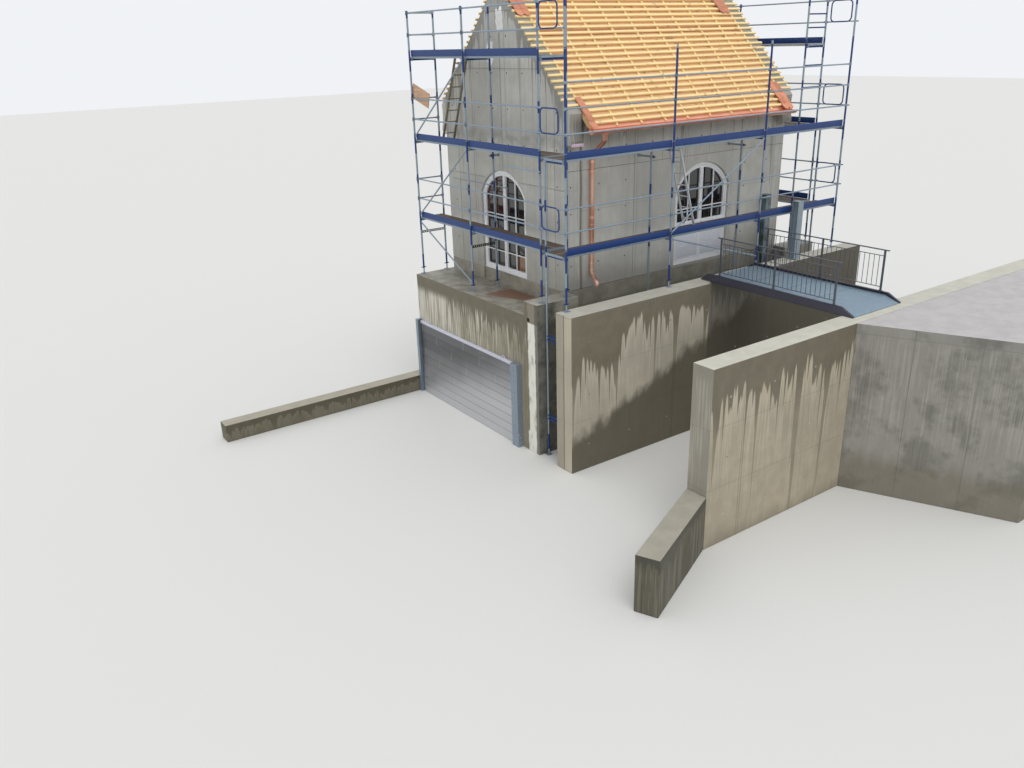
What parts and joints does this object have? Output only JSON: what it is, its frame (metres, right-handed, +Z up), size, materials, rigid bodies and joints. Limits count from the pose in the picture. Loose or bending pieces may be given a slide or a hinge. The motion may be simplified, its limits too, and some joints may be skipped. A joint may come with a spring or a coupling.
{
  "type": "screw turbine powerhouse under construction",
  "caption": "Gabled concrete powerhouse for a hidden water screw, under construction, with channel walls, stop-log wall, footbridge and scaffold.",
  "frame": {"origin": "centre of the whole part's box at its base, the low water line", "axes": "+Z up, +X upstream along the house, +Y from the side channel towards the far bank"},
  "size_m": [17.48, 14.3462, 10.4917],
  "materials": {
    "concrete": "rough, damp, streaked",
    "pale_concrete": "rough, board marked",
    "aluminium": "brushed",
    "white_wood": "white gloss paint",
    "window_glass": "clear over a dark room",
    "roof_timber": "raw sawn",
    "copper": "new copper sheet",
    "clay": "matt fired clay",
    "dark_steel": "dark grey paint",
    "pale_steel": "pale blue grey",
    "galvanised": "dull galvanised",
    "blue_steel": "blue paint"
  },
  "bodies": {
    "root": {"substructure": "concrete", "guide_wall": "concrete", "weir_wall": "concrete", "bank_abutment": "concrete", "wing_wall": "concrete", "bank_kerb": "concrete", "stop_logs": "aluminium", "stop_log_post_pier": "aluminium", "stop_log_post_bank": "aluminium", "gable_front": "pale_concrete", "gable_back": "pale_concrete", "long_wall_channel": "pale_concrete", "long_wall_bank": "pale_concrete", "window_front_frame": "white_wood", "window_front_glass": "window_glass", "window_back_frame": "white_wood", "window_back_glass": "window_glass", "door_frame": "white_wood", "door_glass": "window_glass", "roof_channel": "roof_timber", "roof_bank": "roof_timber", "gutter_channel": "copper", "gutter_bank": "copper", "downpipe_channel": "copper", "downpipe_bank": "copper", "eaves_tiles_front": "clay", "eaves_tiles_back": "clay", "bridge_girder_outlet": "dark_steel", "bridge_girder_inlet": "dark_steel", "bridge_deck": "pale_steel", "bridge_rail_outlet": "dark_steel", "bridge_rail_inlet": "dark_steel", "gate_post_wall": "galvanised", "gate_post_house": "galvanised", "scaffold_front_row": "blue_steel", "scaffold_back_row": "blue_steel", "scaffold_side_row": "blue_steel", "scaffold_front_deck_1": "blue_steel", "scaffold_front_deck_2": "blue_steel", "scaffold_front_deck_3": "blue_steel", "scaffold_back_deck_1": "blue_steel", "scaffold_back_deck_2": "blue_steel", "scaffold_back_deck_3": "blue_steel", "scaffold_side_deck_1": "blue_steel", "scaffold_side_deck_2": "blue_steel", "scaffold_front_inner_1": "galvanised", "scaffold_front_inner_2": "galvanised", "scaffold_front_inner_3": "galvanised", "scaffold_back_inner_1": "galvanised", "scaffold_back_inner_2": "galvanised", "scaffold_back_inner_3": "galvanised", "scaffold_side_inner_1": "galvanised", "scaffold_side_inner_2": "galvanised", "scaffold_side_inner_3": "galvanised", "scaffold_side_inner_4": "galvanised"}
  },
  "joints": []
}
